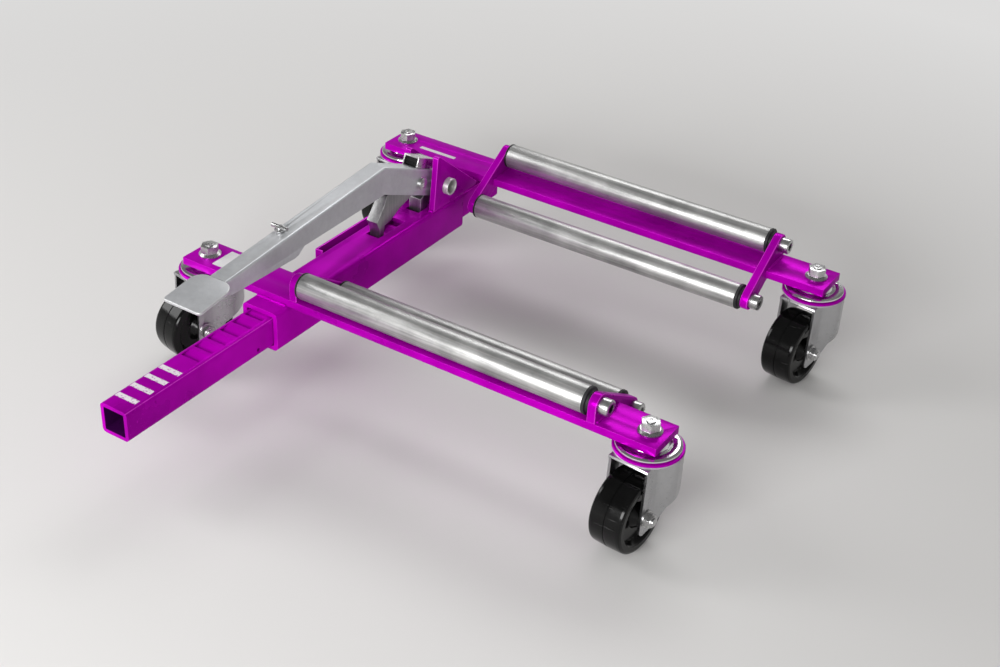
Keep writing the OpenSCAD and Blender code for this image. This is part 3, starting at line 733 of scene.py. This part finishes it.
@dataclass
class RoundedParts:
    """Rigid parts whose sharp CAD edges are broken as on the real thing: rounded copies of the nodes.

    Angles are in degrees: what counts as a sharp edge, as flat and as smooth.
    """
    wardrobe: Wardrobe
    segments: int = 3
    angle: float = 38.0
    flat: float = 0.6
    smooth: float = 32.0
    merge: float = 1e-6

    def round_off(self, node: str, width: float, finish: str) -> None:
        """Replaces a node by its rounded copy.

        Args:
            node: the CAD node.
            width: how far its edges are broken, in millimetres.
            finish: the copy's finish.
        """
        source = frame["nodes"][node]
        body = source["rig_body"]
        mesh = source.data.copy()
        piece = bpy.data.objects.new("rounded_" + node, mesh)
        bpy.context.scene.collection.objects.link(piece)
        alone(piece)
        bpy.ops.object.mode_set(mode="EDIT")
        bpy.ops.mesh.select_all(action="SELECT")
        bpy.ops.mesh.remove_doubles(threshold=self.merge)
        bpy.ops.mesh.customdata_custom_splitnormals_clear()
        bpy.ops.mesh.dissolve_limited(angle_limit=math.radians(self.flat))
        bpy.ops.object.mode_set(mode="OBJECT")
        self.wardrobe.dress(piece, finish)
        piece.data.materials.append(self.wardrobe.made[finish])
        for face in piece.data.polygons:
            face.material_index = FACES
        apply_modifier(piece, "BEVEL", width=width * MM, segments=self.segments, limit_method="ANGLE",
                       angle_limit=math.radians(self.angle), material=EDGES, use_clamp_overlap=True,
                       harden_normals=False)
        self.mark_edges(piece)
        alone(piece)
        bpy.ops.object.shade_smooth_by_angle(angle=math.radians(self.smooth))
        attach(piece, body)
        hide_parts(node)
        log.info("%s: %d faces", piece.name, len(piece.data.polygons))

    @staticmethod
    def mark_edges(piece: bpy.types.Object) -> None:
        """Turns the rounded edges' material number into the edge attribute.

        Args:
            piece: the rounded copy.
        """
        mesh = piece.data
        marks = [float(face.material_index == EDGES) for face in mesh.polygons]
        for face in mesh.polygons:
            face.material_index = FACES
        mesh.materials.pop(index=EDGES)
        edge = mesh.attributes.new("edge", "FLOAT", "FACE")
        edge.data.foreach_set("value", marks)


@dataclass
class WeldBeads:
    """Painted weld beads: rows of overlapping ripples along the joints.

    Sizes are in millimetres, but the ripples' unevenness is in metres.
    """
    wardrobe: Wardrobe
    pitch: float = 2.1
    width: float = 5.0
    height: float = 2.0
    length: float = 1.75
    uneven: float = 0.00022
    seeds: int = 97
    bar_top: float = 0.3
    bar_foot: float = -9.5

    def bead(self, start: Point, end: Point, out: Point, size: float = 1.0) -> bpy.types.Object:
        """Makes one straight bead.

        Args:
            start: its first end, in layout millimetres.
            end: its other end.
            out: direction that the bead bulges in.
            size: width and height, times the usual ones.

        Returns:
            The bead, in place.
        """
        a, c = at(*start), at(*end)
        run = c - a
        count = max(2, round(run.length / (self.pitch * MM)))
        alone(None)
        bpy.ops.mesh.primitive_uv_sphere_add(segments=12, ring_count=6, radius=MM)
        ripple = bpy.context.object
        bpy.ops.object.mode_set(mode="EDIT")
        bpy.ops.mesh.select_all(action="SELECT")
        bpy.ops.transform.resize(value=(self.length, self.width * size / 2, self.height * size))
        bpy.ops.transform.vertex_random(offset=self.uneven, uniform=0.6, normal=0.0,
                                        seed=int(run.length * 1e4) % self.seeds)
        bpy.ops.object.mode_set(mode="OBJECT")
        apply_modifier(ripple, "ARRAY", count=count, use_relative_offset=False, use_constant_offset=True,
                       constant_offset_displace=(run.length / count, 0.0, 0.0))
        x = run.normalized()
        z = Vector(out).normalized()
        z = (z - x * z.dot(x)).normalized()
        turn = Matrix((x, z.cross(x), z)).transposed().to_4x4()
        ripple.matrix_world = Matrix.Translation(a + x * (run.length / count / 2)) @ turn
        settle(ripple)
        bpy.ops.object.shade_smooth()
        return ripple

    def build(self) -> None:
        """Builds the beads of both frames, at the foot or on the top of the plates that they hold."""
        up, low = self.bar_top, self.bar_foot
        front = [
            self.bead((117, -0.6, low + 0.6), (159, -0.6, low + 0.6), (0, -1, 1)),
            self.bead((117, 51.4, low + 0.6), (159, 51.4, low + 0.6), (0, 1, 1)),
            self.bead((164.4, 3, up), (164.4, 44, up), (-1, 0, 1), 0.8),
            self.bead((572.2, 4, up), (572.2, 44, up), (1, 0, 1), 0.9),
            self.bead((121.2, 292, low + 0.4), (121.2, 352, low + 0.4), (1, 0, 1), 0.7),
            self.bead((154.8, 292, low + 0.4), (154.8, 352, low + 0.4), (-1, 0, 1), 0.7),
            self.bead((156.4, 288.4, low + 0.3), (162.4, 288.4, low + 0.3), (0, -1, 1), 0.9),
            self.bead((113.6, 288.4, low + 0.3), (119.6, 288.4, low + 0.3), (0, -1, 1), 0.9),
            self.bead((112.2, 128, -30.0), (112.2, 248, -30.0), (-1, 0, -1), 0.7),
        ]
        rear = [
            self.bead((123.4, 360, -16.0), (123.4, 396, -16.0), (-1, 0, 1), 0.7),
            self.bead((152.6, 360, -16.0), (152.6, 396, -16.0), (1, 0, 1), 0.7),
            self.bead((126, 397.9, -9.2), (150, 397.9, -9.2), (0, -1, 1), 0.8),
            self.bead((172.5, 405, up), (172.5, 446, up), (-1, 0, 1), 0.8),
            self.bead((580.3, 405, up), (580.3, 445, up), (1, 0, 1), 0.9),
        ]
        for name, beads in (("front", front), ("rear", rear)):
            piece = joined(beads, f"{name}_frame_weld_beads")
            self.wardrobe.dress(piece, "purple_coat")
            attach(piece, f"{name}_frame")
            log.info("%s: %d faces", piece.name, len(piece.data.polygons))


@dataclass
class Labels:
    """Blank white films where the bars carry words, in millimetres."""
    wardrobe: Wardrobe
    thickness: float = 0.15
    lift: float = 0.02

    def film(self, name: str, low: tuple[float, float], high: tuple[float, float], radius: float,
             body: str) -> None:
        """Lays a film with round corners on a bar's top.

        Args:
            name: the piece's name.
            low: its lower corner in layout millimetres.
            high: its upper corner.
            radius: radius of its corners.
            body: the body it rides on.
        """
        alone(None)
        middle = at((low[0] + high[0]) / 2, (low[1] + high[1]) / 2, self.lift)
        bpy.ops.mesh.primitive_plane_add(size=MM, location=middle)
        piece = bpy.context.object
        piece.name = name
        bpy.ops.object.mode_set(mode="EDIT")
        bpy.ops.mesh.select_all(action="SELECT")
        bpy.ops.transform.resize(value=(high[0] - low[0], high[1] - low[1], 1.0))
        bpy.ops.mesh.bevel(offset=radius * MM, segments=5, affect="VERTICES")
        bpy.ops.mesh.extrude_region_move(TRANSFORM_OT_translate={"value": (0, 0, self.thickness * MM)})
        bpy.ops.mesh.select_all(action="SELECT")
        bpy.ops.mesh.normals_make_consistent(inside=False)
        bpy.ops.object.mode_set(mode="OBJECT")
        settle(piece)
        self.wardrobe.dress(piece, "blank_film")
        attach(piece, body)
        log.info("%s", name)

    def build(self) -> None:
        """Lays both films."""
        self.film("front_bar_blank_label", (38, 9), (54, 45), 1.5, "front_frame")
        self.film("rear_bar_blank_strip", (50, 414.4), (107, 420.4), 0.8, "rear_frame")


@dataclass(frozen=True)
class Lamp:
    """A soft rectangular lamp, in metres and watts."""
    name: str
    place: Point
    aim: Point
    size: tuple[float, float]
    power: float

    def build(self) -> None:
        """Adds the lamp, turned to the point that it faces."""
        data = bpy.data.lights.new(self.name, "AREA")
        data.shape = "RECTANGLE"
        data.size, data.size_y = self.size
        data.energy = self.power
        lamp = bpy.data.objects.new(self.name, data)
        bpy.context.scene.collection.objects.link(lamp)
        lamp.location = self.place
        lamp.rotation_euler = (Vector(self.aim) - Vector(self.place)).to_track_quat("-Z", "Y").to_euler()


@dataclass
class Studio:
    """Pale floor, even surroundings, soft lamps and the camera at the photograph's viewing angle.

    The floor turns into the backdrop between the distances near and far. Lengths are in metres, the
    camera's angles in degrees and its lens and sensor in millimetres.
    """
    position: Point = (0.8468, -1.26615, 1.07465)
    azimuth: float = 31.8668
    elevation: float = 32.707
    roll: float = -2.7072
    lens: float = 56.03
    sensor: float = 36.0
    reach: float = 100.0
    backdrop: Colour = (0.72, 0.715, 0.71)
    near: float = 0.7
    far: float = 1.6
    floor_size: float = 60.0
    floor_gap: float = 0.0002
    floor_colour: Colour = (0.72, 0.71, 0.70)
    sky_colour: Colour = (1.0, 0.993, 0.986)
    sky_seen: float = 0.72
    sky_fill: float = 0.27
    sky_overhead: float = 0.18
    lamps: tuple[Lamp, ...] = (
        Lamp("key_front", (0.15, -2.4, 0.95), (0.0, 0.0, 0.1), (1.8, 0.8), 64.0),
        Lamp("top_back", (-0.6, 1.9, 1.9), (0.0, 0.1, 0.1), (1.8, 0.7), 21.0),
        Lamp("side_left", (-2.0, -0.8, 1.3), (0.0, 0.0, 0.1), (0.8, 1.2), 18.0),
    )

    def camera(self) -> None:
        """Places the camera and makes it the scene's."""
        a, e, r = (math.radians(v) for v in (self.azimuth, self.elevation, self.roll))
        back = Vector((math.sin(a) * math.cos(e), -math.cos(a) * math.cos(e), math.sin(e)))
        right = Vector((math.cos(a), math.sin(a), 0.0))
        up = back.cross(right)
        x = right * math.cos(r) - up * math.sin(r)
        y = right * math.sin(r) + up * math.cos(r)
        data = bpy.data.cameras.new("view")
        data.lens = self.lens
        data.sensor_width = self.sensor
        data.sensor_fit = "HORIZONTAL"
        data.clip_end = self.reach
        view = bpy.data.objects.new("view", data)
        bpy.context.scene.collection.objects.link(view)
        turn = Matrix((x, y, back)).transposed().to_4x4()
        view.matrix_world = Matrix.Translation(Vector(self.position)) @ turn
        bpy.context.scene.camera = view

    def floor(self) -> None:
        """Lays the pale floor, which takes the shadow and turns into an even backdrop farther out."""
        alone(None)
        bpy.ops.mesh.primitive_plane_add(size=self.floor_size, location=(0, 0, -self.floor_gap))
        floor = bpy.context.object
        floor.name = "studio_floor"
        material = bpy.data.materials.new("studio_floor")
        material.use_nodes = True
        b = Board(material.node_tree)
        diffuse = b.add("BsdfDiffuse", {"Color": (*self.floor_colour, 1.0)})
        backdrop = b.add("Emission", {"Color": (*self.backdrop, 1.0), "Strength": 1.0})
        where = b.add("TexCoord").outputs["Object"]
        away = b.add("VectorMath", {0: where}, operation="LENGTH").outputs["Value"]
        ray = b.add("LightPath")
        seen = b.maths("MAXIMUM", ray.outputs["Is Camera Ray"], ray.outputs["Is Transmission Ray"])
        seen = b.maths("MAXIMUM", seen, ray.outputs["Is Glossy Ray"])
        far = b.maths("MULTIPLY", b.span(away, self.near, self.far), seen)
        mixed = b.add("MixShader", {0: far, 1: diffuse.outputs[0], 2: backdrop.outputs[0]})
        out = b.add("OutputMaterial")
        b.tree.links.new(mixed.outputs[0], out.inputs[0])
        floor.data.materials.append(material)

    def world(self) -> None:
        """Makes the surroundings: soft light, and a pale backdrop that glossy metal shows as well."""
        world = bpy.data.worlds.new("studio_world")
        bpy.context.scene.world = world
        world.use_nodes = True
        b = Board(world.node_tree)
        ray = b.add("LightPath")
        upward = b.add("SeparateXYZ", {0: b.add("TexCoord").outputs["Generated"]}).outputs[2]
        sky = b.span(upward, 0.05, 0.5, self.sky_seen, self.sky_overhead)
        mirrored = b.maths("MULTIPLY", ray.outputs["Is Glossy Ray"], sky)
        seen = b.maths("MAXIMUM", ray.outputs["Is Camera Ray"], ray.outputs["Is Transmission Ray"])
        lit = b.maths("MULTIPLY", b.maths("SUBTRACT", 1.0, ray.outputs["Is Glossy Ray"]), self.sky_fill)
        seen = b.maths("MULTIPLY", seen, self.sky_seen)
        strength = b.maths("MAXIMUM", seen, b.maths("MAXIMUM", mirrored, lit))
        light = b.add("Background", {"Color": (*self.sky_colour, 1.0), "Strength": strength})
        out = b.add("OutputWorld")
        b.tree.links.new(light.outputs[0], out.inputs[0])

    def build(self) -> None:
        """Builds floor, world, lamps and camera."""
        self.floor()
        self.world()
        for lamp in self.lamps:
            lamp.build()
        self.camera()
        log.info("studio built")


@dataclass
class Jack:
    """The whole jack: which node gets which finish and how far its edges are broken."""
    wardrobe: Wardrobe
    ends: tuple[str, ...] = ("front", "rear")
    corners: tuple[str, ...] = ("front_left", "front_right", "rear_left", "rear_right")

    def rounded(self) -> dict[str, tuple[float, str]]:
        """Lists the parts that are rounded.

        Returns:
            Node name to its edge width in millimetres and its finish.
        """
        parts: dict[str, tuple[float, str]] = {
            "outer_tube": (0.9, "purple_coat"),
            "pedal_gusset_left": (1.1, "purple_coat"),
            "pedal_gusset_right": (1.1, "purple_coat"),
            "side_channel": (0.7, "purple_coat"),
            "rear_spacer_pad": (0.8, "purple_coat"),
            "pivot_tube": (0.7, "tube_zinc"),
            "pedal_arm": (0.7, "pedal_silver"),
            "foot_plate": (1.1, "pedal_silver"),
            "stop_box": (0.8, "bright_zinc"),
            "stop_rubber": (0.5, "black_rubber"),
            "pawl_bolt": (0.5, "bright_zinc"),
            "lock_pin": (0.5, "bright_zinc"),
            "drive_pawl": (0.6, "pawl_steel"),
            "holding_pawl": (0.6, "pawl_steel"),
        }
        for end in self.ends:
            parts[f"{end}_bar"] = (1.2, "purple_coat")
            parts[f"{end}_kingpins"] = (0.5, "bright_zinc")
            for side in ("left", "right"):
                parts[f"{end}_bracket_{side}"] = (1.0, "purple_coat")
            for level in ("upper", "lower"):
                parts[f"{end}_{level}_axle"] = (0.6, "bright_zinc")
                parts[f"{end}_{level}_roller"] = (0.5, "roller_zinc")
                parts[f"{end}_{level}_caps"] = (0.5, "black_caps")
        for corner in self.corners:
            parts[f"fork_{corner}"] = (0.6, "fork_plate")
            parts[f"wheel_bolt_{corner}"] = (0.5, "bright_zinc")
        return parts

    def plain(self) -> dict[str, str]:
        """Lists the nodes that keep their CAD mesh.

        Returns:
            Node name to its finish.
        """
        nodes = {"pivot_spacer": "bright_zinc", "pedal_spring": "pawl_steel",
                 "sliding_tube": "purple_coat_with_bars"}
        for end in self.ends:
            nodes[f"{end}_swivel_races"] = "race_plate"
        for corner in self.corners:
            nodes[f"ring_{corner}"] = "purple_ring"
            nodes[f"wheel_{corner}"] = "wheel_gloss"
        return nodes

    def build(self) -> None:
        """Rounds and dresses every node."""
        rounding = RoundedParts(self.wardrobe)
        for node, (width, finish) in self.rounded().items():
            rounding.round_off(node, width, finish)
        for node, finish in self.plain().items():
            self.wardrobe.dress(frame["nodes"][node], finish)
            log.info("dressed %s", node)


def main() -> None:
    """Builds the jack's looks and its studio."""
    logging.basicConfig(level=logging.INFO, format="%(message)s")
    bpy.context.scene.view_settings.view_transform = "Standard"
    wardrobe = Wardrobe(Effects())
    wardrobe.build()
    Jack(wardrobe).build()
    WeldBeads(wardrobe).build()
    Labels(wardrobe).build()
    Studio().build()


if __name__ == "__main__":
    main()
